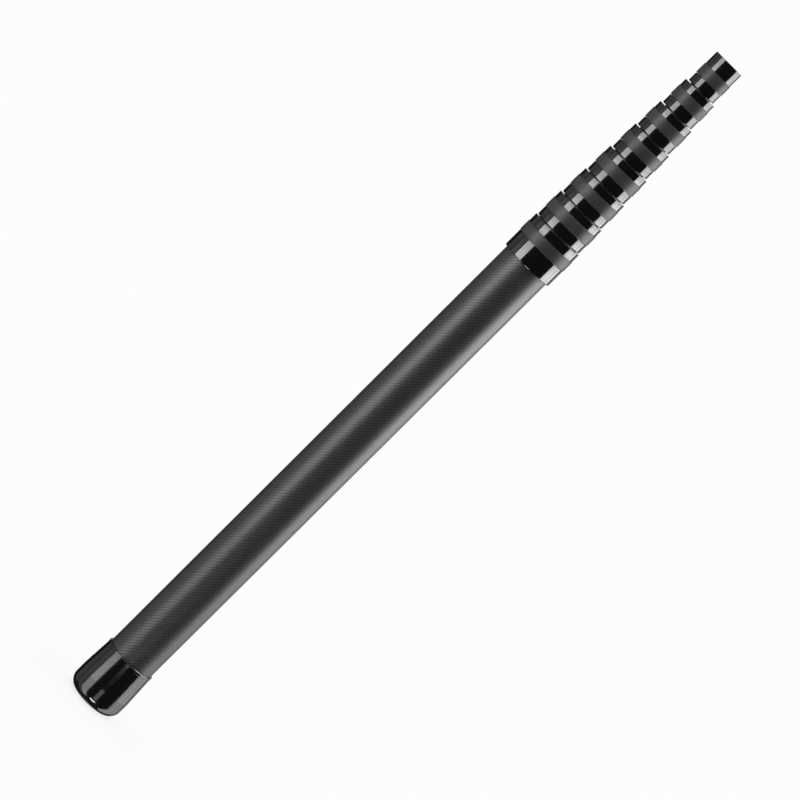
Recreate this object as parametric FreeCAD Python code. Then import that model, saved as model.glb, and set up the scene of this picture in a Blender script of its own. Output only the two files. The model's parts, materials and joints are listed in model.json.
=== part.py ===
import FreeCAD, Part
import math
import os

# Telescopic pole of eight carbon sections with twist-lock collars, upright with every section pushed in.
# The origin is the centre of the base cap's flat foot, and +Z runs along the pole to its tip.
# Section 1 is the outermost tube. Lock k is carried by section k and clamps section k + 1.
# All sizes are in millimetres.

# Driving dimensions of the whole pole
SECTIONS = 8
COLLAPSED_LENGTH = 500.0
EXTENDED_LENGTH = 3000.0

# Tubes
BASE_TUBE_OD = 30.0
TUBE_OD_STEP = 2.2
TUBE_WALL = 0.6

# Collars: outer diameters from the base collar to the tip collar, and lengths along the pole
COLLAR_OD = (32.8, 31.4, 29.7, 28.0, 25.8, 24.0, 21.6, 18.6)
BASE_REAR_RING = 11.3
REAR_RING = 5.8
GRIP_BAND = 7.1
BASE_FRONT_RING = 5.45
FRONT_RING = 4.63
TIP_FRONT_RING = 8.8
COLLAR_GAP = 0.6
EDGE_CHAMFER = 0.3

# Grip rings: rubber bands in a groove of each nut
GRIP_PROUD = 0.3
GRIP_GROOVE = 0.45
GRIP_CHAMFER = 0.2

# Lock sleeves: bonded over the tube's top end, with a threaded spigot above the rear ring
TUBE_ABOVE_RING = 2.4
SHOULDER_HEIGHT = 1.2
SHOULDER_CLEARANCE = 0.12
SPIGOT_HEIGHT = 7.4
SPIGOT_INSET = 1.0

# Twist nuts
THREAD_CLEARANCE = 0.05
NUT_SEAM = 0.2
NUT_THREAD_RELIEF = 0.4
NUT_CHAMBER = 1.2
NUT_LIP_HEIGHT = 1.2
NUT_LIP_CLEARANCE = 0.3

# Collets: split cones that close on the inner tube
COLLET_BORE_CLEARANCE = 0.04
COLLET_FOOT_GAP = 0.5
COLLET_FOOT_WALL = 0.40
COLLET_TOP_WALL = 0.85
COLLET_SEAT_CLEARANCE = 0.04
COLLET_NECK = 0.45
COLLET_FLANGE = 1.1
COLLET_AXIAL_PLAY = 0.05
COLLET_SLOT = 0.8
COLLET_BRIDGE = 1.4

# Guide rings and the stop rings that hold them on the lower end of each inner tube
STOP_RING_WALL = 0.38
STOP_RING_HEIGHT = 3.0
GUIDE_RING_BORE_CLEARANCE = 0.04
GUIDE_RING_OUTER_CLEARANCE = 0.05
GUIDE_RING_PLAY = 0.15
GUIDE_RING_SPLIT = 1.0
STOP_CLEARANCE = 0.05

# Base cap and the pad inside it
CAP_LENGTH = 33.8
CAP_MAX_OD = 33.7
CAP_NECK_OD = 31.7
CAP_CORNER_RADIUS = 7.1
CAP_FLOOR = 3.0
CAP_WIDEST_TOP = 13.4
CAP_FOOT_GROOVE = 0.5
CAP_FOOT_GROOVE_DEPTH = 0.4
CAP_BEAD_HEIGHT = 1.8
CAP_BEAD_PROUD = 0.15
CAP_BEAD_BEVEL = 0.35
PAD_HEIGHT = 4.0
PAD_SIDE_GAP = 0.2
PAD_HEADROOM = 1.0

# Tip fitting with its threaded socket
TIP_SPIGOT_HEIGHT = 4.0
TIP_TUBE_ABOVE_RING = 2.2
TIP_WEB = 1.0
TIP_WEB_BORE = 4.2
INSERT_RADIUS = 6.0
SOCKET_RADIUS = 3.4
SOCKET_CHAMFER = 0.5


def tube_radius(section):
    """Outer radius of a section's tube."""
    return (BASE_TUBE_OD - TUBE_OD_STEP * (section - 1)) / 2


def collar_radius(section):
    """Radius of the polished rings of the collar on a section."""
    return COLLAR_OD[section - 1] / 2


def rear_ring(section):
    """Length of the collar's rear ring."""
    return BASE_REAR_RING if section == 1 else REAR_RING


def front_ring(section):
    """Length of the collar's front ring."""
    if section == 1:
        return BASE_FRONT_RING
    return TIP_FRONT_RING if section == SECTIONS else FRONT_RING


def collar_bottom(section):
    """Height of a collar's lower edge; the collars are stacked downwards from the tip."""
    z = COLLAPSED_LENGTH
    for upper in range(SECTIONS, section - 1, -1):
        z -= rear_ring(upper) + GRIP_BAND + front_ring(upper)
        if upper > section:
            z -= COLLAR_GAP
    return z


def ring_top(section):
    """Height of the upper edge of a collar's rear ring."""
    return collar_bottom(section) + rear_ring(section)


def tube_top(section):
    """Height of a tube's upper end, inside its collar."""
    above = TIP_TUBE_ABOVE_RING if section == SECTIONS else TUBE_ABOVE_RING
    return ring_top(section) + above


def tube_bottom(section):
    """Height of a tube's lower end."""
    if section == 1:
        return CAP_FLOOR
    return CAP_FLOOR + PAD_HEIGHT + PAD_HEADROOM


def guide_ring_height():
    """Guide ring length that makes the seven travels add up to the extended length."""
    stops = sum(tube_top(outer) for outer in range(1, SECTIONS))
    joints = SECTIONS - 1
    fixed = tube_bottom(2) + 2 * STOP_RING_HEIGHT + 2 * GUIDE_RING_PLAY + STOP_CLEARANCE
    return (stops - (EXTENDED_LENGTH - COLLAPSED_LENGTH)) / joints - fixed


def section_travel(section):
    """How far a section slides out before its upper stop ring meets the shoulder of the lock round it."""
    stop_top = tube_bottom(section) + 2 * STOP_RING_HEIGHT + 2 * GUIDE_RING_PLAY + guide_ring_height()
    return tube_top(section - 1) - stop_top - STOP_CLEARANCE


def turned(points):
    """Solid of revolution about Z from a closed outline of (radius, height) points."""
    corners = [FreeCAD.Vector(r, 0, z) for r, z in points]
    outline = Part.makePolygon(corners + corners[:1])
    return Part.Face(outline).revolve(FreeCAD.Vector(0, 0, 0), FreeCAD.Vector(0, 0, 1), 360)


def hollow_cylinder(inner, outer, bottom, top):
    """Plain ring between two radii."""
    return turned([(inner, bottom), (outer, bottom), (outer, top), (inner, top)])


def save(name, shape):
    """Write one sub-part as a STEP file."""
    shape.exportStep(os.path.join("parts", name + ".step"))


def make_tube(section):
    """Thin carbon tube."""
    outer = tube_radius(section)
    return hollow_cylinder(outer - TUBE_WALL, outer, tube_bottom(section), tube_top(section))


def collet_outline(section, extra=0.0):
    """Heights and outer radii of the collet's cone, or of its seat when extra is the clearance."""
    tube = tube_radius(section + 1)
    foot = tube_top(section) + SHOULDER_HEIGHT + COLLET_FOOT_GAP
    top = ring_top(section) + SPIGOT_HEIGHT
    return foot, tube + COLLET_FOOT_WALL + extra, top, tube + COLLET_TOP_WALL + extra


def make_lock_sleeve(section):
    """Collar's rear ring, tube seat, stop shoulder, collet seat and threaded spigot in one piece."""
    bonded = tube_radius(section)
    outer = collar_radius(section)
    spigot = outer - SPIGOT_INSET
    shoulder = tube_radius(section + 1) + SHOULDER_CLEARANCE
    bottom = collar_bottom(section)
    ring = ring_top(section)
    seat_foot, foot_radius, seat_top, top_radius = collet_outline(section, COLLET_SEAT_CLEARANCE)
    return turned([
        (bonded, bottom),
        (outer - EDGE_CHAMFER, bottom),
        (outer, bottom + EDGE_CHAMFER),
        (outer, ring),
        (spigot, ring),
        (spigot, seat_top),
        (top_radius, seat_top),
        (foot_radius, seat_foot),
        (foot_radius, tube_top(section) + SHOULDER_HEIGHT),
        (shoulder, tube_top(section) + SHOULDER_HEIGHT),
        (shoulder, tube_top(section)),
        (bonded, tube_top(section)),
    ])


def nut_heights(section):
    """Lower edge, top of the grip band and upper edge of a collar's nut or head."""
    ring = ring_top(section)
    return ring + NUT_SEAM, ring + GRIP_BAND, ring + GRIP_BAND + front_ring(section)


def make_twist_nut(section):
    """Nut that is screwed on the sleeve's spigot and presses the collet into its seat."""
    outer = collar_radius(section)
    groove = outer - GRIP_GROOVE
    thread = outer - SPIGOT_INSET + THREAD_CLEARANCE
    chamber = tube_radius(section + 1) + NUT_CHAMBER
    lip = tube_radius(section + 1) + NUT_LIP_CLEARANCE
    bottom, band_top, top = nut_heights(section)
    thread_top = ring_top(section) + SPIGOT_HEIGHT + NUT_THREAD_RELIEF
    return turned([
        (thread, bottom),
        (groove, bottom),
        (groove, band_top),
        (outer, band_top),
        (outer, top - EDGE_CHAMFER),
        (outer - EDGE_CHAMFER, top),
        (lip, top),
        (lip, top - NUT_LIP_HEIGHT),
        (chamber, top - NUT_LIP_HEIGHT),
        (chamber, thread_top),
        (thread, thread_top),
    ])


def make_grip_ring(section):
    """Rubber band in the groove of a nut or of the tip head."""
    inner = collar_radius(section) - GRIP_GROOVE
    outer = collar_radius(section) + GRIP_PROUD
    bottom, top, _ = nut_heights(section)
    return turned([
        (inner, bottom),
        (outer - GRIP_CHAMFER, bottom),
        (outer, bottom + GRIP_CHAMFER),
        (outer, top - GRIP_CHAMFER),
        (outer - GRIP_CHAMFER, top),
        (inner, top),
    ])


def make_collet(section):
    """Split cone round the inner tube, slotted from below and joined by its flange."""
    bore = tube_radius(section + 1) + COLLET_BORE_CLEARANCE
    flange = tube_radius(section + 1) + COLLET_FLANGE
    foot, foot_radius, cone_top, cone_radius = collet_outline(section)
    top = nut_heights(section)[2] - NUT_LIP_HEIGHT - COLLET_AXIAL_PLAY
    collet = turned([
        (bore, foot),
        (foot_radius, foot),
        (cone_radius, cone_top),
        (cone_radius, cone_top + COLLET_NECK),
        (flange, cone_top + COLLET_NECK),
        (flange, top),
        (bore, top),
    ])
    span = 4 * flange
    slot_height = top - COLLET_BRIDGE - foot
    slot = Part.makeBox(span, COLLET_SLOT, slot_height + 1)
    slot.translate(FreeCAD.Vector(-span / 2, -COLLET_SLOT / 2, foot - 1))
    for turn in (0, 90):
        cutter = slot.copy()
        cutter.rotate(FreeCAD.Vector(0, 0, 0), FreeCAD.Vector(0, 0, 1), turn)
        collet = collet.cut(cutter)
    return collet


def make_stop_rings(section):
    """Two equal rings bonded on a tube's lower end, below and above its guide ring."""
    inner = tube_radius(section)
    outer = inner + STOP_RING_WALL
    lower = tube_bottom(section)
    upper = lower + STOP_RING_HEIGHT + 2 * GUIDE_RING_PLAY + guide_ring_height()
    rings = [hollow_cylinder(inner, outer, z, z + STOP_RING_HEIGHT) for z in (lower, upper)]
    return Part.makeCompound(rings)


def make_guide_ring(section):
    """Split ring that fills the gap between a tube's lower end and the tube round it."""
    inner = tube_radius(section) + GUIDE_RING_BORE_CLEARANCE
    outer = tube_radius(section - 1) - TUBE_WALL - GUIDE_RING_OUTER_CLEARANCE
    bottom = tube_bottom(section) + STOP_RING_HEIGHT + GUIDE_RING_PLAY
    height = guide_ring_height()
    ring = hollow_cylinder(inner, outer, bottom, bottom + height)
    split = Part.makeBox(2 * outer, GUIDE_RING_SPLIT, height + 2)
    split.translate(FreeCAD.Vector(0, -GUIDE_RING_SPLIT / 2, bottom - 1))
    return ring.cut(split)


def make_base_cap():
    """Moulded end cap with a flat foot, a round corner, a slight taper and a bead round its rim."""
    bore = tube_radius(1)
    wide = CAP_MAX_OD / 2
    neck = CAP_NECK_OD / 2
    bead = neck + CAP_BEAD_PROUD
    foot = wide - CAP_CORNER_RADIUS
    centre = FreeCAD.Vector(foot, 0, CAP_CORNER_RADIUS)
    middle = centre + FreeCAD.Vector(math.sin(math.pi / 4), 0, -math.cos(math.pi / 4)) * CAP_CORNER_RADIUS
    below_corner = [
        (0, CAP_FLOOR),
        (0, 0),
        (foot - CAP_FOOT_GROOVE, 0),
        (foot - CAP_FOOT_GROOVE / 2, CAP_FOOT_GROOVE_DEPTH),
        (foot, 0),
    ]
    above_corner = [
        (wide, CAP_CORNER_RADIUS),
        (wide, CAP_WIDEST_TOP),
        (neck, CAP_LENGTH - CAP_BEAD_HEIGHT),
        (bead, CAP_LENGTH - CAP_BEAD_HEIGHT + CAP_BEAD_PROUD),
        (bead, CAP_LENGTH - CAP_BEAD_BEVEL),
        (bead - CAP_BEAD_BEVEL, CAP_LENGTH),
        (bore, CAP_LENGTH),
        (bore, CAP_FLOOR),
        (0, CAP_FLOOR),
    ]
    low = [FreeCAD.Vector(r, 0, z) for r, z in below_corner]
    high = [FreeCAD.Vector(r, 0, z) for r, z in above_corner]
    edges = [Part.LineSegment(a, b).toShape() for a, b in zip(low, low[1:])]
    edges.append(Part.Arc(low[-1], middle, high[0]).toShape())
    edges += [Part.LineSegment(a, b).toShape() for a, b in zip(high, high[1:])]
    face = Part.Face(Part.Wire(edges))
    return face.revolve(FreeCAD.Vector(0, 0, 0), FreeCAD.Vector(0, 0, 1), 360)


def make_bumper_pad():
    """Foam disc on the cap's floor that the inner tubes drop on."""
    radius = tube_radius(1) - TUBE_WALL - PAD_SIDE_GAP
    return Part.makeCylinder(radius, PAD_HEIGHT, FreeCAD.Vector(0, 0, CAP_FLOOR))


def make_tip_sleeve():
    """Rear ring of the tip collar, bonded over the last tube, with a spigot for the head."""
    bonded = tube_radius(SECTIONS)
    outer = collar_radius(SECTIONS)
    spigot = outer - SPIGOT_INSET
    bottom = collar_bottom(SECTIONS)
    ring = ring_top(SECTIONS)
    tube = tube_top(SECTIONS)
    return turned([
        (bonded, bottom),
        (outer - EDGE_CHAMFER, bottom),
        (outer, bottom + EDGE_CHAMFER),
        (outer, ring),
        (spigot, ring),
        (spigot, ring + TIP_SPIGOT_HEIGHT),
        (bonded - TUBE_WALL, ring + TIP_SPIGOT_HEIGHT),
        (bonded - TUBE_WALL, tube),
        (bonded, tube),
    ])


def make_tip_head():
    """Head of the tip collar: screwed on the tip sleeve, with a pocket for the insert."""
    outer = collar_radius(SECTIONS)
    groove = outer - GRIP_GROOVE
    spigot = outer - SPIGOT_INSET
    bottom, band_top, top = nut_heights(SECTIONS)
    web = ring_top(SECTIONS) + TIP_SPIGOT_HEIGHT
    return turned([
        (spigot, bottom),
        (groove, bottom),
        (groove, band_top),
        (outer, band_top),
        (outer, top - EDGE_CHAMFER),
        (outer - EDGE_CHAMFER, top),
        (INSERT_RADIUS, top),
        (INSERT_RADIUS, web + TIP_WEB),
        (TIP_WEB_BORE, web + TIP_WEB),
        (TIP_WEB_BORE, web),
        (spigot, web),
    ])


def make_socket_insert():
    """Brass insert with the accessory thread, open at the tip."""
    bottom = ring_top(SECTIONS) + TIP_SPIGOT_HEIGHT + TIP_WEB
    top = COLLAPSED_LENGTH
    return turned([
        (SOCKET_RADIUS, bottom),
        (INSERT_RADIUS, bottom),
        (INSERT_RADIUS, top),
        (SOCKET_RADIUS + SOCKET_CHAMFER, top),
        (SOCKET_RADIUS, top - SOCKET_CHAMFER),
    ])


def main():
    os.makedirs("parts", exist_ok=True)
    save("base_cap", make_base_cap())
    save("bumper_pad", make_bumper_pad())
    for section in range(1, SECTIONS + 1):
        save(f"tube_{section}", make_tube(section))
    for section in range(1, SECTIONS):
        save(f"lock_sleeve_{section}", make_lock_sleeve(section))
        save(f"collet_{section}", make_collet(section))
        save(f"twist_nut_{section}", make_twist_nut(section))
        save(f"grip_ring_{section}", make_grip_ring(section))
    for section in range(2, SECTIONS + 1):
        save(f"guide_ring_{section}", make_guide_ring(section))
        save(f"stop_rings_{section}", make_stop_rings(section))
    save("tip_sleeve", make_tip_sleeve())
    save("tip_grip_ring", make_grip_ring(SECTIONS))
    save("tip_head", make_tip_head())
    save("socket_insert", make_socket_insert())

    for section in range(2, SECTIONS + 1):
        print(f"travel of section {section}: {section_travel(section):.3f} mm")
    print(f"guide ring height: {guide_ring_height():.3f} mm")


main()
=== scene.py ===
import bpy
import json
import math
from mathutils import Matrix, Vector


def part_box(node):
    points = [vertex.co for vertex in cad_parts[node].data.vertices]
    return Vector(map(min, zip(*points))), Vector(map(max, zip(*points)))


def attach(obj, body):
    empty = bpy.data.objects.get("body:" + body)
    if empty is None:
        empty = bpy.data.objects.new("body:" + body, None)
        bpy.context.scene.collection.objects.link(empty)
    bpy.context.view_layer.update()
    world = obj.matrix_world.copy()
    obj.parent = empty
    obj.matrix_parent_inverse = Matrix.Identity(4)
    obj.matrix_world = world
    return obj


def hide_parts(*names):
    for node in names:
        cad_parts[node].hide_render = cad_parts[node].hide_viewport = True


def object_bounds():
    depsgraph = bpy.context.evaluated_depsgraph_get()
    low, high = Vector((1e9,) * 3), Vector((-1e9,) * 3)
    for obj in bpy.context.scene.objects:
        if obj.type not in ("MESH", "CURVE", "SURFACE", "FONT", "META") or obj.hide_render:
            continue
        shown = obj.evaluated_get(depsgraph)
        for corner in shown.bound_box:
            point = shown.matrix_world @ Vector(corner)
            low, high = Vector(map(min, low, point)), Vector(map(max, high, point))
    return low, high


# Telescopic pole of eight carbon sections with twist-lock collars, upright and pushed together.
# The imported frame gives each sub-part's place and outer size. The outlines here repeat the inner steps
# of the frame's solids in millimetres and add rounded edges, a thread and surfaces. The rest is in metres.

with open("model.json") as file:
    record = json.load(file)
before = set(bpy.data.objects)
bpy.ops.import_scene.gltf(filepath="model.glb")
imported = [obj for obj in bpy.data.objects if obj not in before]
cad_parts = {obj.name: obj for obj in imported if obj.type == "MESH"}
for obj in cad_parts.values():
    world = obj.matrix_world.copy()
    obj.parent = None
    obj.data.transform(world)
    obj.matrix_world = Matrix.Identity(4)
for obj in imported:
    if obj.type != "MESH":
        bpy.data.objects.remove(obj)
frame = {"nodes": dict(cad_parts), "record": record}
cad_low, cad_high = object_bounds()

MM = 0.001
SECTIONS = 8

# Mesh: segments round the pole, steps along a rounding, and the radius in mm from which a rounding is large
SEGMENTS = 192
EDGE_STEPS = 5
LARGE_STEPS = 20
LARGE_ROUNDING = 1.0
CREASE_ANGLE = math.radians(35)

# Edge roundings, crowns and the lead-in facet at each collar's rear, in mm
TUBE_EDGE = 0.12
RING_EDGE = 0.18
REAR_LEAD_INSET = 0.16
REAR_LEAD_HEIGHT = 0.35
SEAM_EDGE = 0.12
INNER_EDGE = 0.10
BAND_EDGE = 0.22
BAND_CROWN = 0.06
BAND_BULGE_RADIUS = 40.0
CAP_CORNER_RADIUS = 7.1
CAP_SHOULDER_RADIUS = 20.0
PAD_EDGE = 0.8
PAD_CROWN = 0.3

# Locks, in mm
TUBE_WALL = 0.6
SLEEVE_SHOULDER = 1.2
SHOULDER_GAP = 0.12
SPIGOT_INSET = 1.0
SEAT_FOOT_WALL = 0.44
SEAT_TOP_WALL = 0.89
SEAT_FOOT_GAP = 0.5
NUT_SEAM = 0.2
NUT_THREAD_GAP = 0.05
NUT_THREAD_RELIEF = 0.4
NUT_CHAMBER = 1.2
NUT_LIP_HEIGHT = 1.2
NUT_LIP_GAP = 0.3
GRIP_GROOVE = 0.45

# Cap and tip, in mm
CAP_FLOOR = 3.0
CAP_WIDEST_TOP = 13.4
CAP_NECK_INSET = 1.0
CAP_BEAD_HEIGHT = 1.8
CAP_BEAD_PROUD = 0.15
CAP_BEAD_BEVEL = 0.35
FOOT_GROOVE = 0.5
FOOT_GROOVE_DEPTH = 0.4
TIP_WEB = 1.0
TIP_WEB_BORE = 4.2

# Tip thread, in mm. Its crest and flank are shares of half a pitch.
THREAD_MINOR = 3.4
THREAD_MAJOR = 4.0
THREAD_PITCH = 1.25
THREAD_CREST = 0.2
THREAD_FLANK = 0.68
THREAD_ROWS_PER_TURN = 20
MOUTH_CHAMFER = 0.5

# Weave: width of a tow round the tube, its rise along the tube, cells in one repeat, cells under one float,
# share of a float over which each end dips, and fibre streaks in a cell across and along the tow
TOW_WIDTH = 0.00062
TOW_RISE = 0.00054
TWILL_REPEAT = 4
TOW_FLOAT = 2
TOW_END_DIP = 0.35
FIBRES_ACROSS = 9
FIBRES_ALONG = 0.6

# Grip bands' crossed grain: its phase in radians for each radian round the band and each metre up it
GRAIN_ROUND = 80.0
GRAIN_UP = 5200.0

# Height over which the cap's foot is scuffed
SCUFF_HEIGHT = 0.005

# Tones of the surfaces, as linear grey or colour
# Painted sheen: hoop tows are painted lighter than axial tows, in place of the highlights that differ with
# the fibres' direction
HOOP_TOW_SHEEN = 0.034
AXIAL_TOW_SHEEN = 0.003
# Painted shade: the tone the weave darkens to where its tows dip
TOW_GAP_SHADE = 0.001
CLOUDED_RESIN = 0.016
ANODISED_BLACK = 0.0022
WORN_ANODISED = 0.05
RUBBER_BLACK = 0.016
DUSTY_RUBBER = 0.032
# Painted shade: the tone the grip rubber darkens to in the hollows of its grain
RUBBER_HOLLOW_SHADE = 0.005
CAP_BLACK = 0.0022
SCUFFED_CAP = 0.02
NYLON_DARK = (0.68, 0.67, 0.62)
NYLON_LIGHT = (0.78, 0.77, 0.73)
ALUMINIUM_DARK = (0.62, 0.62, 0.64)
ALUMINIUM_LIGHT = (0.76, 0.76, 0.78)
BRASS_DARK = (0.46, 0.31, 0.12)
BRASS_LIGHT = (0.72, 0.53, 0.24)
FOAM_CELL = 0.09
FOAM_WALL = 0.03

# Camera, seen from the middle of the pole
CAMERA_DISTANCE = 2.0
CAMERA_SIDE = 0.0035
CAMERA_RISE = 0.242
CAMERA_PITCH = math.radians(7.1)
CAMERA_ROLL = math.radians(45.16)
CAMERA_LENS = 164.72
CAMERA_NEAR = 0.1
CAMERA_FAR = 300

# Backdrop, floor and room
BACKDROP = 0.977
ROOM_GLOW = 0.02
FLOOR_HALF_SIDE = 80.0
FLOOR_SHADED_SHARE = 0.15
FLOOR_LAMP_SPREAD = math.radians(70)

# Softboxes. Their foot and head are heights above the pole's foot. The floor doesn't hide them.
PANEL_DISTANCE = 1.5
NEAR_PANEL_DISTANCE = 0.8
PANEL_FOOT = -3.0
BACK_PANEL_FOOT = -0.9
PANEL_HEAD = 3.4
OVERHEAD_WIDTH = 5.0
OVERHEAD_HEIGHT = 3.6
OVERHEAD_RADIANCE = 1.2

# Dimming of a softbox by height: up to full between the first two, down to DIM_TIP between the next two
DIM_FOOT_BELOW = -0.4
FULL_ABOVE = 0.35
TIP_FADE_START = 0.22
TIP_FADE_END = 0.45
DIM_TIP = 0.72

body_of = {node: body for body, members in frame["record"]["behaviour"]["bodies"].items() for node in members}
slot_of = {row["node"]: row["material_slot"] for row in frame["record"]["subparts"]}


def box_mm(node):
    """Outer radius, lower end and upper end of a CAD node."""
    low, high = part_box(node)
    return high.x / MM, low.z / MM, high.z / MM


# ---------------------------------------------------------------- shader helpers

def node(tree, kind, wires=None, **settings):
    """A shader node. wires gives its inputs by name or number, each a value or another node's output."""
    made = tree.nodes.new("ShaderNode" + kind)
    for setting, value in settings.items():
        setattr(made, setting, value)
    for socket, value in (wires or {}).items():
        if isinstance(value, bpy.types.NodeSocket):
            tree.links.new(value, made.inputs[socket])
        else:
            made.inputs[socket].default_value = value
    return made


def compute(tree, operation, *values):
    """One step of arithmetic on shader values."""
    return node(tree, "Math", dict(enumerate(values)), operation=operation).outputs[0]


def remap(tree, value, start, end, low=0.0, high=1.0, curve="LINEAR"):
    """value's start to end taken to low to high, and held there beyond them."""
    wires = {"Value": value, "From Min": start, "From Max": end, "To Min": low, "To Max": high}
    return node(tree, "MapRange", wires, interpolation_type=curve).outputs[0]


def spread(tree, factor, low, high):
    """factor's 0 to 1 taken to low to high."""
    return remap(tree, factor, 0.0, 1.0, low, high)


def colour(tone):
    """A grey number or an (r, g, b) as a colour. Another node's output stays as it is."""
    if isinstance(tone, bpy.types.NodeSocket):
        return tone
    return (*tone, 1) if isinstance(tone, tuple) else (tone, tone, tone, 1)


def blend_colour(tree, factor, first, last):
    """Colour that is first where factor is 0 and last where it is 1."""
    return node(tree, "Mix", {0: factor, 6: colour(first), 7: colour(last)}, data_type="RGBA").outputs[2]


def grain(tree, place, scale, detail=2.0):
    """Noise from 0 to 1, scale features per metre of place."""
    return node(tree, "TexNoise", {"Vector": place, "Scale": scale, "Detail": detail}).outputs[0]


def stretched(tree, place, across, along):
    """Place with its X and Y multiplied by across and its Z by along."""
    return node(tree, "Mapping", {"Vector": place, "Scale": (across, across, along)}).outputs[0]


def turned_grain(tree, place, scale):
    """Fine lines round the pole, as a lathe leaves them."""
    return grain(tree, stretched(tree, place, across=0.03, along=1.0), scale, detail=3.0)


def relief(tree, height, depth, strength=1.0):
    """Normal for a relief of height 0 to 1 that is depth metres deep."""
    return node(tree, "Bump", {"Height": height, "Distance": depth, "Strength": strength}).outputs[0]


def start_material(name, **uniform):
    """New material, its node tree, its shader and its place on the object. uniform sets shader sockets."""
    material = bpy.data.materials.new(name)
    material.use_nodes = True
    tree = material.node_tree
    shader = tree.nodes["Principled BSDF"]
    for socket, value in uniform.items():
        shader.inputs[socket.replace("_", " ")].default_value = value
    place = node(tree, "TexCoord").outputs["Object"]
    return material, tree, shader, place


def wire(tree, shader, **outputs):
    """Joins outputs to the shader's sockets."""
    for socket, output in outputs.items():
        tree.links.new(output, shader.inputs[socket.replace("_", " ")])


# ---------------------------------------------------------------- materials

def twill_weave(tree, place):
    """2 x 2 twill: which tow is on top, 1 for axial and 0 for hoop, its relief, and its fibre streaks."""
    axes = node(tree, "SeparateXYZ", {0: place})
    tows_round = node(tree, "Attribute", attribute_type="OBJECT", attribute_name="tows_round").outputs["Fac"]
    angle = compute(tree, "ARCTAN2", axes.outputs["Y"], axes.outputs["X"])
    across = compute(tree, "MULTIPLY", compute(tree, "DIVIDE", angle, 2 * math.pi), tows_round)
    along = compute(tree, "DIVIDE", axes.outputs["Z"], TOW_RISE)
    column = compute(tree, "FLOOR", across)
    row = compute(tree, "FLOOR", along)
    in_column = compute(tree, "FRACT", across)
    in_row = compute(tree, "FRACT", along)

    # step is the cell's whole-numbered place in the repeat. An axial tow is on top in the first half of it.
    step = compute(tree, "FLOORED_MODULO", compute(tree, "SUBTRACT", column, row), TWILL_REPEAT)
    axial = compute(tree, "LESS_THAN", step, TOW_FLOAT - 0.5)

    # Position across the tow, and position along its float, from 0 to 1
    hoop_step = compute(tree, "SUBTRACT", step, TOW_FLOAT)
    hoop_along = compute(tree, "DIVIDE", compute(tree, "ADD", hoop_step, in_column), TOW_FLOAT)
    from_start = compute(tree, "SUBTRACT", compute(tree, "ADD", in_row, TOW_FLOAT - 1), step)
    axial_along = compute(tree, "DIVIDE", from_start, TOW_FLOAT)
    tow_across = node(tree, "Mix", {0: axial, 2: in_row, 3: in_column}).outputs[0]
    float_along = node(tree, "Mix", {0: axial, 2: hoop_along, 3: axial_along}).outputs[0]
    from_side = compute(tree, "PINGPONG", tow_across, 0.5)
    from_end = compute(tree, "PINGPONG", float_along, 0.5)
    crown = remap(tree, from_side, 0.0, 0.5, curve="SMOOTHSTEP")
    arch = remap(tree, from_end, 0.0, TOW_END_DIP, curve="SMOOTHSTEP")
    height = compute(tree, "MULTIPLY", crown, arch)

    # Fibres run along each tow.
    cell = node(tree, "CombineXYZ", {0: across, 1: along}).outputs[0]
    axial_scale = (FIBRES_ACROSS, FIBRES_ALONG, 1)
    hoop_scale = (FIBRES_ALONG, FIBRES_ACROSS, 1)
    axial_fibres = node(tree, "Mapping", {"Vector": cell, "Scale": axial_scale}).outputs[0]
    hoop_fibres = node(tree, "Mapping", {"Vector": cell, "Scale": hoop_scale}).outputs[0]
    choice = {0: axial, 4: hoop_fibres, 5: axial_fibres}
    fibre_place = node(tree, "Mix", choice, data_type="VECTOR").outputs[1]
    return axial, height, grain(tree, fibre_place, scale=1.0)


def carbon_twill():
    """Fine 2 x 2 carbon twill under a satin resin, with painted sheen on its tows and painted shade where
    they dip. Each tube gives its own count of tows round it.
    """
    material, tree, shader, place = start_material("carbon_twill", IOR=1.5, Specular_IOR_Level=0.36)
    axial, height, fibres = twill_weave(tree, place)
    patches = grain(tree, place, scale=45.0)
    rubbed = grain(tree, stretched(tree, place, across=1.0, along=0.04), scale=900.0)

    # Painted sheen: hoop and axial tows get different tones in place of their different highlights.
    tow_sheen_tone = blend_colour(tree, axial, HOOP_TOW_SHEEN, AXIAL_TOW_SHEEN)
    # Painted shade: the colour darkens where the relief dips at the tows' sides and ends.
    tone = blend_colour(tree, spread(tree, height, 0.75, 0.0), tow_sheen_tone, TOW_GAP_SHADE)
    clouded = blend_colour(tree, spread(tree, patches, 0.0, 0.25), tone, CLOUDED_RESIN)
    wire(tree, shader, Base_Color=clouded)
    roughness = spread(tree, axial, 0.29, 0.47)
    roughness = compute(tree, "ADD", roughness, spread(tree, patches, -0.03, 0.03))
    roughness = compute(tree, "ADD", roughness, spread(tree, rubbed, -0.02, 0.02))
    wire(tree, shader, Roughness=compute(tree, "ADD", roughness, spread(tree, fibres, -0.03, 0.03)))
    surface = compute(tree, "ADD", height, compute(tree, "MULTIPLY", fibres, 0.12))
    wire(tree, shader, Normal=relief(tree, surface, depth=0.000045, strength=0.9))
    return material


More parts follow.
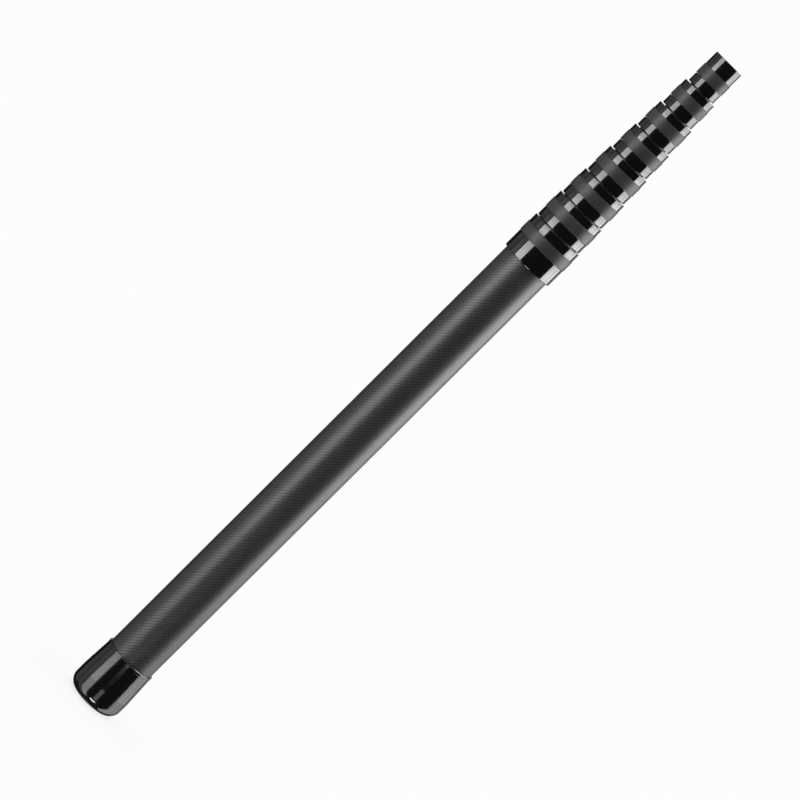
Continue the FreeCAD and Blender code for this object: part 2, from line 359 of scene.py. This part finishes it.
def black_anodised():
    """Polished black anodised aluminium, turned, with its edges worn a little lighter."""
    material, tree, shader, place = start_material("black_anodised", IOR=1.5)
    turning = turned_grain(tree, place, scale=7000.0)
    smudges = grain(tree, place, scale=160.0)
    edge = node(tree, "Attribute", attribute_name="edge").outputs["Fac"]
    nicks = remap(tree, grain(tree, place, scale=900.0), 0.52, 0.72)
    wear = compute(tree, "MULTIPLY", edge, spread(tree, nicks, 0.15, 0.8))
    wire(tree, shader, Base_Color=blend_colour(tree, wear, ANODISED_BLACK, WORN_ANODISED))
    roughness = compute(tree, "ADD", spread(tree, smudges, 0.07, 0.13), spread(tree, wear, 0.0, 0.15))
    wire(tree, shader, Roughness=compute(tree, "ADD", roughness, spread(tree, turning, -0.02, 0.02)))
    wire(tree, shader, Normal=relief(tree, turning, depth=0.0000012, strength=0.5))
    return material


def grip_rubber():
    """Matte black rubber with a fine crossed grain, with painted shade in the grain's hollows."""
    material, tree, shader, place = start_material("grip_rubber", IOR=1.5, Specular_IOR_Level=0.18)
    axes = node(tree, "SeparateXYZ", {0: place})
    angle = compute(tree, "ARCTAN2", axes.outputs["Y"], axes.outputs["X"])
    round_band = compute(tree, "MULTIPLY", angle, GRAIN_ROUND)
    up_band = compute(tree, "MULTIPLY", axes.outputs["Z"], GRAIN_UP)
    leftward = compute(tree, "SINE", compute(tree, "ADD", round_band, up_band))
    rightward = compute(tree, "SINE", compute(tree, "SUBTRACT", round_band, up_band))
    crossed = spread(tree, compute(tree, "MULTIPLY", leftward, rightward), 0.0, 1.0)
    pores = grain(tree, place, scale=4500.0, detail=3.0)
    dust = grain(tree, place, scale=220.0)
    tone = blend_colour(tree, dust, RUBBER_BLACK, DUSTY_RUBBER)
    # Painted shade: the hollows of the crossed grain are darkened.
    wire(tree, shader, Base_Color=blend_colour(tree, spread(tree, crossed, 0.35, 0.0), tone, RUBBER_HOLLOW_SHADE))
    roughness = compute(tree, "ADD", spread(tree, dust, 0.33, 0.43), spread(tree, pores, -0.05, 0.05))
    wire(tree, shader, Roughness=roughness)
    surface = compute(tree, "ADD", crossed, compute(tree, "MULTIPLY", pores, 0.5))
    wire(tree, shader, Normal=relief(tree, surface, depth=0.00003, strength=0.4))
    return material


def cap_plastic():
    """Moulded gloss black plastic with a slight orange peel, scuffed at the foot."""
    material, tree, shader, place = start_material("cap_plastic", IOR=1.5)
    height = node(tree, "SeparateXYZ", {0: place}).outputs["Z"]
    peel = grain(tree, place, scale=330.0, detail=1.0)
    fine = grain(tree, place, scale=2600.0)
    scuff_noise = grain(tree, stretched(tree, place, across=1.0, along=0.3), scale=1500.0, detail=4.0)
    near_foot = remap(tree, height, 0.0, SCUFF_HEIGHT, low=1.0, high=0.0)
    scratches = remap(tree, scuff_noise, 0.5, 0.7)
    scuffs = compute(tree, "MULTIPLY", near_foot, scratches)
    wire(tree, shader, Base_Color=blend_colour(tree, scuffs, CAP_BLACK, SCUFFED_CAP))
    roughness = compute(tree, "ADD", spread(tree, peel, 0.09, 0.17), spread(tree, scuffs, 0.0, 0.3))
    wire(tree, shader, Roughness=compute(tree, "ADD", roughness, spread(tree, fine, -0.02, 0.02)))
    wire(tree, shader, Normal=relief(tree, peel, depth=0.00004, strength=0.4))
    return material


def nylon():
    """Off-white moulded nylon."""
    translucency = {"Subsurface_Weight": 0.1, "Subsurface_Scale": 0.001}
    material, tree, shader, place = start_material("nylon", IOR=1.53, **translucency)
    mottle = grain(tree, place, scale=500.0)
    grime = grain(tree, stretched(tree, place, across=1.0, along=0.1), scale=1800.0)
    wire(tree, shader, Base_Color=blend_colour(tree, mottle, NYLON_DARK, NYLON_LIGHT))
    wire(tree, shader, Roughness=spread(tree, grime, 0.35, 0.55))
    wire(tree, shader, Normal=relief(tree, mottle, depth=0.00003, strength=0.3))
    return material


def plain_aluminium():
    """Bare turned aluminium."""
    material, tree, shader, place = start_material("plain_aluminium", Metallic=1.0)
    turning = turned_grain(tree, place, scale=6000.0)
    wire(tree, shader, Base_Color=blend_colour(tree, turning, ALUMINIUM_DARK, ALUMINIUM_LIGHT))
    wire(tree, shader, Roughness=spread(tree, turning, 0.25, 0.42))
    wire(tree, shader, Normal=relief(tree, turning, depth=0.000004, strength=0.5))
    return material


def brass():
    """Turned brass with a slight tarnish."""
    material, tree, shader, place = start_material("brass", Metallic=1.0)
    turning = turned_grain(tree, place, scale=6000.0)
    patches = grain(tree, place, scale=700.0)
    wire(tree, shader, Base_Color=blend_colour(tree, patches, BRASS_DARK, BRASS_LIGHT))
    wire(tree, shader, Roughness=spread(tree, compute(tree, "MULTIPLY", turning, patches), 0.2, 0.5))
    wire(tree, shader, Normal=relief(tree, turning, depth=0.000004, strength=0.5))
    return material


def foam():
    """Dark closed-cell foam."""
    material, tree, shader, place = start_material("foam", IOR=1.4)
    cells = node(tree, "TexVoronoi", {"Vector": place, "Scale": 1600.0}).outputs["Distance"]
    wire(tree, shader, Base_Color=blend_colour(tree, cells, FOAM_CELL, FOAM_WALL))
    wire(tree, shader, Roughness=spread(tree, cells, 0.85, 1.0))
    wire(tree, shader, Normal=relief(tree, cells, depth=0.0002, strength=0.8))
    return material


surfaces = {
    "carbon": carbon_twill(),
    "black_anodised": black_anodised(),
    "grip_rubber": grip_rubber(),
    "cap_plastic": cap_plastic(),
    "nylon": nylon(),
    "plain_aluminium": plain_aluminium(),
    "brass": brass(),
    "foam": foam(),
}


# ---------------------------------------------------------------- shapes

def rounded(corners):
    """Outline of (radius, height, worn) points from (radius, height, rounding) corners, lengths in mm.
    worn is 1 at the middle of an edge's rounding and 0 where no edge is rounded."""
    points = []
    for index, (radius, height, rounding) in enumerate(corners):
        if not rounding:
            points.append((radius, height, 0.0))
            continue
        here = Vector((radius, height))
        back = (Vector(corners[index - 1][:2]) - here).normalized()
        ahead = (Vector(corners[(index + 1) % len(corners)][:2]) - here).normalized()
        half = back.angle(ahead) / 2
        centre = here + (back + ahead).normalized() * (rounding / math.sin(half))
        first = here + back * (rounding / math.tan(half)) - centre
        last = here + ahead * (rounding / math.tan(half)) - centre
        start = math.atan2(first.y, first.x)
        sweep = math.atan2(first.x * last.y - first.y * last.x, first.dot(last))
        is_edge = rounding < LARGE_ROUNDING
        steps = EDGE_STEPS if is_edge else LARGE_STEPS
        for step in range(steps + 1):
            angle = start + sweep * step / steps
            radius_there = centre.x + rounding * math.cos(angle)
            height_there = centre.y + rounding * math.sin(angle)
            worn = math.sin(math.pi * step / steps) if is_edge else 0.0
            points.append((radius_there, height_there, worn))
    return points


def ring_of(radius, height):
    """One ring of vertices in metres. radius is in mm, or a function of the angle."""
    ring = []
    for segment in range(SEGMENTS):
        angle = 2 * math.pi * segment / SEGMENTS
        reach = (radius(angle) if callable(radius) else radius) * MM
        ring.append((reach * math.cos(angle), reach * math.sin(angle), height * MM))
    return ring


def skin(name, rings, wear):
    """Closed surface through rings in order, the last joined to the first. A ring of one vertex is on
    the axis. wear has one share for each ring, which the surface reads as its "edge" attribute."""
    vertices, starts = [], []
    for ring in rings:
        starts.append(len(vertices))
        vertices += ring
    faces = []
    for index, start in enumerate(starts):
        following = (index + 1) % len(rings)
        above = starts[following]
        single, single_above = len(rings[index]) == 1, len(rings[following]) == 1
        if single and single_above:
            continue
        for segment in range(SEGMENTS):
            beside = (segment + 1) % SEGMENTS
            if single:
                faces.append((start, above + beside, above + segment))
            elif single_above:
                faces.append((start + segment, start + beside, above))
            else:
                faces.append((start + segment, start + beside, above + beside, above + segment))
    mesh = bpy.data.meshes.new(name)
    mesh.from_pydata(vertices, [], faces)
    mesh.shade_smooth()
    mesh.set_sharp_from_angle(angle=CREASE_ANGLE)
    shares = [worn for ring, worn in zip(rings, wear) for _ in ring]
    mesh.attributes.new("edge", "FLOAT", "POINT").data.foreach_set("value", shares)
    piece = bpy.data.objects.new(name, mesh)
    bpy.context.scene.collection.objects.link(piece)
    return piece


def turned(name, corners):
    """Solid of revolution about the pole's axis. The corners go round anticlockwise, radius to the right."""
    outline = rounded(corners)
    rings = []
    for radius, height, _ in outline:
        rings.append(ring_of(radius, height) if radius > 0 else [(0, 0, height * MM)])
    return skin(name, rings, [worn for _, _, worn in outline])


def stand_for(piece, cad_node):
    """The piece rides with a CAD node's body, hides that node and gets the surface that the node's slot
    names.
    """
    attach(piece, body_of[cad_node])
    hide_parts(cad_node)
    piece.data.materials.append(surfaces[slot_of[cad_node]])
    return piece


def make_tube(section):
    """Carbon tube with its cut ends eased."""
    outer, bottom, top = box_mm(f"tube_{section}")
    inner = outer - TUBE_WALL
    tube = turned(f"tube_{section}_twill", [
        (inner, bottom, TUBE_EDGE),
        (outer, bottom, TUBE_EDGE),
        (outer, top, TUBE_EDGE),
        (inner, top, TUBE_EDGE),
    ])
    around = 2 * math.pi * outer * MM
    tube["tows_round"] = float(TWILL_REPEAT * round(around / TOW_WIDTH / TWILL_REPEAT))
    stand_for(tube, f"tube_{section}")


def make_lock_sleeve(section):
    """Polished rear ring of a collar, with its threaded spigot and collet seat."""
    outer, bottom, seat_top = box_mm(f"lock_sleeve_{section}")
    bonded, _, tube_top = box_mm(f"tube_{section}")
    inside = box_mm(f"tube_{section + 1}")[0]
    ring = box_mm(f"twist_nut_{section}")[1] - NUT_SEAM
    shoulder = inside + SHOULDER_GAP
    seat_foot = tube_top + SLEEVE_SHOULDER + SEAT_FOOT_GAP
    stand_for(turned(f"sleeve_ring_{section}", [
        (bonded, bottom, INNER_EDGE),
        (outer - REAR_LEAD_INSET, bottom, INNER_EDGE),
        (outer, bottom + REAR_LEAD_HEIGHT, INNER_EDGE),
        (outer, ring, SEAM_EDGE),
        (outer - SPIGOT_INSET, ring, 0),
        (outer - SPIGOT_INSET, seat_top, INNER_EDGE),
        (inside + SEAT_TOP_WALL, seat_top, 0),
        (inside + SEAT_FOOT_WALL, seat_foot, 0),
        (inside + SEAT_FOOT_WALL, tube_top + SLEEVE_SHOULDER, 0),
        (shoulder, tube_top + SLEEVE_SHOULDER, 0),
        (shoulder, tube_top, 0),
        (bonded, tube_top, 0),
    ]), f"lock_sleeve_{section}")


def make_twist_nut(section):
    """Polished front ring of a collar, with the groove for its grip band."""
    outer, bottom, top = box_mm(f"twist_nut_{section}")
    band_top = box_mm(f"grip_ring_{section}")[2]
    seat_top = box_mm(f"lock_sleeve_{section}")[2]
    inside = box_mm(f"tube_{section + 1}")[0]
    thread = outer - SPIGOT_INSET + NUT_THREAD_GAP
    stand_for(turned(f"nut_ring_{section}", [
        (thread, bottom, 0),
        (outer - GRIP_GROOVE, bottom, 0),
        (outer - GRIP_GROOVE, band_top, 0),
        (outer, band_top, SEAM_EDGE),
        (outer, top, RING_EDGE),
        (inside + NUT_LIP_GAP, top, INNER_EDGE),
        (inside + NUT_LIP_GAP, top - NUT_LIP_HEIGHT, 0),
        (inside + NUT_CHAMBER, top - NUT_LIP_HEIGHT, 0),
        (inside + NUT_CHAMBER, seat_top + NUT_THREAD_RELIEF, 0),
        (thread, seat_top + NUT_THREAD_RELIEF, 0),
    ]), f"twist_nut_{section}")


def make_grip_band(name, cad_node, ring_node):
    """Slightly crowned rubber band with soft edges."""
    outer, bottom, top = box_mm(cad_node)
    inner = box_mm(ring_node)[0] - GRIP_GROOVE
    stand_for(turned(name, [
        (inner, bottom, 0),
        (outer - BAND_CROWN, bottom, BAND_EDGE),
        (outer, (bottom + top) / 2, BAND_BULGE_RADIUS),
        (outer - BAND_CROWN, top, BAND_EDGE),
        (inner, top, 0),
    ]), cad_node)


def make_base_cap():
    """Moulded cap: flat foot with a shallow groove, round corner, slight taper and a bead round the rim."""
    wide, bottom, top = box_mm("base_cap")
    bore = box_mm("tube_1")[0]
    neck = wide - CAP_NECK_INSET
    bead = neck + CAP_BEAD_PROUD
    groove = wide - CAP_CORNER_RADIUS - FOOT_GROOVE
    stand_for(turned("base_cap_shell", [
        (0, CAP_FLOOR, 0),
        (0, bottom, 0),
        (groove - FOOT_GROOVE, bottom, INNER_EDGE),
        (groove - FOOT_GROOVE / 2, bottom + FOOT_GROOVE_DEPTH, INNER_EDGE),
        (groove, bottom, INNER_EDGE),
        (wide, bottom, CAP_CORNER_RADIUS),
        (wide, CAP_WIDEST_TOP, CAP_SHOULDER_RADIUS),
        (neck, top - CAP_BEAD_HEIGHT, INNER_EDGE),
        (bead, top - CAP_BEAD_HEIGHT + CAP_BEAD_PROUD, INNER_EDGE),
        (bead, top - CAP_BEAD_BEVEL, INNER_EDGE),
        (bead - CAP_BEAD_BEVEL, top, INNER_EDGE),
        (bore, top, INNER_EDGE),
        (bore, CAP_FLOOR, INNER_EDGE),
    ]), "base_cap")


def make_bumper_pad():
    """Foam disc on the cap's floor, softened at its edge and a little crowned."""
    radius, bottom, top = box_mm("bumper_pad")
    pad = turned("bumper_pad_foam", [
        (0, top, 0),
        (0, bottom, 0),
        (radius, bottom, INNER_EDGE),
        (radius, top - PAD_CROWN, PAD_EDGE),
    ])
    stand_for(pad, "bumper_pad")


def make_tip_sleeve():
    """Polished rear ring of the tip collar."""
    outer, bottom, top = box_mm("tip_sleeve")
    bonded, _, tube_top = box_mm(f"tube_{SECTIONS}")
    ring = box_mm("tip_head")[1] - NUT_SEAM
    stand_for(turned("tip_sleeve_ring", [
        (bonded, bottom, INNER_EDGE),
        (outer - REAR_LEAD_INSET, bottom, INNER_EDGE),
        (outer, bottom + REAR_LEAD_HEIGHT, INNER_EDGE),
        (outer, ring, SEAM_EDGE),
        (outer - SPIGOT_INSET, ring, 0),
        (outer - SPIGOT_INSET, top, 0),
        (bonded - TUBE_WALL, top, 0),
        (bonded - TUBE_WALL, tube_top, 0),
        (bonded, tube_top, 0),
    ]), "tip_sleeve")


def make_tip_head():
    """Polished head of the tip collar, with the groove for its band and the pocket for the insert."""
    outer, bottom, top = box_mm("tip_head")
    band_top = box_mm("tip_grip_ring")[2]
    web = box_mm("tip_sleeve")[2]
    pocket = box_mm("socket_insert")[0]
    stand_for(turned("tip_head_shell", [
        (outer - SPIGOT_INSET, bottom, 0),
        (outer - GRIP_GROOVE, bottom, 0),
        (outer - GRIP_GROOVE, band_top, 0),
        (outer, band_top, SEAM_EDGE),
        (outer, top, RING_EDGE),
        (pocket, top, INNER_EDGE),
        (pocket, web + TIP_WEB, 0),
        (TIP_WEB_BORE, web + TIP_WEB, 0),
        (TIP_WEB_BORE, web, 0),
        (outer - SPIGOT_INSET, web, 0),
    ]), "tip_head")


def make_socket_insert():
    """Brass insert with a real screw thread inside, faded in at the bottom and chamfered at the mouth."""
    outer, bottom, top = box_mm("socket_insert")

    def thread_radius(height):
        """Radius of the threaded bore at a height, as a function of the angle."""
        deep = min(1, (height - bottom) / THREAD_PITCH)
        mouth = THREAD_MINOR + MOUTH_CHAMFER - (top - height)

        def radius(angle):
            phase = (height / THREAD_PITCH - angle / (2 * math.pi)) % 1
            share = (abs(2 * phase - 1) - THREAD_CREST) / THREAD_FLANK
            groove = (THREAD_MAJOR - THREAD_MINOR) * deep * min(1, max(0, share))
            return max(THREAD_MINOR + groove, mouth)

        return radius

    rows = round((top - bottom) / THREAD_PITCH * THREAD_ROWS_PER_TURN)
    heights = [top - (top - bottom) * row / rows for row in range(rows + 1)]
    rings = [ring_of(outer, bottom), ring_of(outer, top)]
    rings += [ring_of(thread_radius(height), height) for height in heights]
    stand_for(skin("socket_insert_thread", rings, [0.0] * len(rings)), "socket_insert")


make_base_cap()
make_bumper_pad()
for section in range(1, SECTIONS + 1):
    make_tube(section)
for section in range(1, SECTIONS):
    make_lock_sleeve(section)
    make_twist_nut(section)
    make_grip_band(f"grip_band_{section}", f"grip_ring_{section}", f"twist_nut_{section}")
make_tip_sleeve()
make_grip_band("tip_grip_band", "tip_grip_ring", "tip_head")
make_tip_head()
make_socket_insert()

# The collets, guide rings and stop rings keep their CAD shape and get their surfaces.
for cad_node, cad_piece in frame["nodes"].items():
    if not cad_piece.hide_render:
        for material_slot in cad_piece.material_slots:
            material_slot.link = "OBJECT"
            material_slot.material = surfaces[slot_of[cad_node]]


# ---------------------------------------------------------------- studio

def make_camera():
    """Camera a little above the pole's middle, rolled so that the pole lies on the picture's diagonal."""
    camera = bpy.data.objects.new("camera", bpy.data.cameras.new("camera"))
    bpy.context.scene.collection.objects.link(camera)
    middle = (cad_low + cad_high) / 2
    place = middle + Vector((CAMERA_SIDE, -CAMERA_DISTANCE, CAMERA_RISE))
    tilt = Matrix.Rotation(math.pi / 2 - CAMERA_PITCH, 4, "X")
    camera.matrix_world = Matrix.Translation(place) @ tilt @ Matrix.Rotation(CAMERA_ROLL, 4, "Z")
    camera.data.lens = CAMERA_LENS
    camera.data.clip_start = CAMERA_NEAR
    camera.data.clip_end = CAMERA_FAR
    bpy.context.scene.camera = camera


def make_room():
    """Pale backdrop for the camera and a dim room for everything else."""
    world = bpy.data.worlds.new("room")
    world.use_nodes = True
    tree = world.node_tree
    seen = node(tree, "LightPath").outputs["Is Camera Ray"]
    tree.nodes["Background"].inputs["Color"].default_value = (1, 1, 1, 1)
    tree.links.new(spread(tree, seen, ROOM_GLOW, BACKDROP), tree.nodes["Background"].inputs["Strength"])
    bpy.context.scene.world = world


def make_floor():
    """Pale floor that runs into the backdrop. It glows, and only its matte share can take a shadow."""
    mesh = bpy.data.meshes.new("floor")
    signs = ((-1, -1), (1, -1), (1, 1), (-1, 1))
    corners = [(x * FLOOR_HALF_SIDE, y * FLOOR_HALF_SIDE, cad_low.z) for x, y in signs]
    mesh.from_pydata(corners, [], [(0, 1, 2, 3)])
    floor = bpy.data.objects.new("floor", mesh)
    bpy.context.scene.collection.objects.link(floor)
    material = bpy.data.materials.new("floor")
    material.use_nodes = True
    tree = material.node_tree
    glow = node(tree, "Emission", {"Color": (1, 1, 1, 1), "Strength": BACKDROP}).outputs[0]
    matte = node(tree, "BsdfDiffuse", {"Color": (BACKDROP, BACKDROP, BACKDROP, 1)}).outputs[0]
    mixed = node(tree, "MixShader", {0: FLOOR_SHADED_SHARE, 1: glow, 2: matte}).outputs[0]
    tree.links.new(mixed, tree.nodes["Material Output"].inputs["Surface"])
    mesh.materials.append(material)
    floor.visible_diffuse = False
    floor.visible_glossy = False
    floor.visible_transmission = False
    floor.visible_shadow = False
    return floor


def make_floor_lamp(floor):
    """Wide sun for the floor alone. It makes the matte share about as bright as the glow, save in shadow."""
    lamp = bpy.data.objects.new("floor_lamp", bpy.data.lights.new("floor_lamp", "SUN"))
    bpy.context.scene.collection.objects.link(lamp)
    lamp.data.energy = math.pi
    lamp.data.angle = FLOOR_LAMP_SPREAD
    lit = bpy.data.collections.new("lit_by_floor_lamp")
    lit.objects.link(floor)
    lamp.light_linking.receiver_collection = lit


def dim_ends(light, dim_foot):
    """Dims a softbox to dim_foot low down, and a little beside the pole's upper part and above it."""
    light.use_nodes = True
    tree = light.node_tree
    place = node(tree, "NewGeometry").outputs["Position"]
    level = node(tree, "SeparateXYZ", {0: place}).outputs["Z"]
    rise = remap(tree, level, DIM_FOOT_BELOW, FULL_ABOVE, low=dim_foot, curve="SMOOTHSTEP")
    fall = remap(tree, level, TIP_FADE_START, TIP_FADE_END, low=1.0, high=DIM_TIP, curve="SMOOTHSTEP")
    tree.links.new(compute(tree, "MULTIPLY", rise, fall), tree.nodes["Emission"].inputs["Strength"])


def make_panel(name, azimuth, width, radiance, foot=PANEL_FOOT, head=PANEL_HEAD,
               distance=PANEL_DISTANCE, dim_foot=None):
    """Upright softbox facing the pole. azimuth and width are in degrees round the pole, 0 towards the
    camera and 90 towards +X. dim_foot is the share of brightness left low down. Without it, it is even."""
    across = 2 * distance * math.tan(math.radians(width) / 2)
    light = bpy.data.lights.new(name, "AREA")
    light.shape = "RECTANGLE"
    light.size = across
    light.size_y = head - foot
    light.energy = radiance * math.pi * across * (head - foot)
    panel = bpy.data.objects.new(name, light)
    bpy.context.scene.collection.objects.link(panel)
    turn = math.radians(azimuth)
    panel.location = Vector((math.sin(turn) * distance, -math.cos(turn) * distance, (foot + head) / 2))
    towards = Vector((-panel.location.x, -panel.location.y, 0))
    panel.rotation_mode = "QUATERNION"
    panel.rotation_quaternion = towards.to_track_quat("-Z", "Y")
    panel.visible_camera = False
    if dim_foot is not None:
        dim_ends(light, dim_foot)
    return panel


def make_overhead():
    """Wide dim softbox above, for the faces that look up."""
    light = bpy.data.lights.new("overhead", "AREA")
    light.shape = "SQUARE"
    light.size = OVERHEAD_WIDTH
    light.energy = OVERHEAD_RADIANCE * math.pi * OVERHEAD_WIDTH ** 2
    panel = bpy.data.objects.new("overhead", light)
    bpy.context.scene.collection.objects.link(panel)
    panel.location = (0, 0, OVERHEAD_HEIGHT)
    panel.visible_camera = False
    return panel


def keep_off_floor(panels, floor):
    """The softboxes light everything but the floor."""
    unlit = bpy.data.collections.new("not_lit_by_panels")
    unlit.objects.link(floor)
    unlit.collection_objects[0].light_linking.link_state = "EXCLUDE"
    for panel in panels:
        panel.light_linking.receiver_collection = unlit


make_camera()
make_room()
floor = make_floor()
make_floor_lamp(floor)
panels = [
    make_panel("left_strip", azimuth=-47.8, width=32, radiance=11.4, dim_foot=0.34),
    make_panel("left_grey", azimuth=-79, width=22, radiance=1.1, dim_foot=0.6),
    make_panel("left_back", azimuth=-108, width=34, radiance=0.4, foot=BACK_PANEL_FOOT),
    make_panel("right_strip", azimuth=93.5, width=27, radiance=12.8, dim_foot=0.25),
    make_panel("right_far", azimuth=119, width=24, radiance=8.0, dim_foot=0.25),
    make_panel("right_back", azimuth=147, width=30, radiance=0.5, foot=BACK_PANEL_FOOT),
    make_panel("rear", azimuth=180, width=24, radiance=0.9),
    make_panel("front_dim", azimuth=12, width=16, radiance=1.8, foot=-0.9, head=-0.28),
    make_panel("low_front", azimuth=11, width=30, radiance=20.0, foot=-1.3, head=-0.8,
               distance=NEAR_PANEL_DISTANCE),
    make_overhead(),
]
keep_off_floor(panels, floor)

bpy.context.scene.view_settings.view_transform = "Standard"
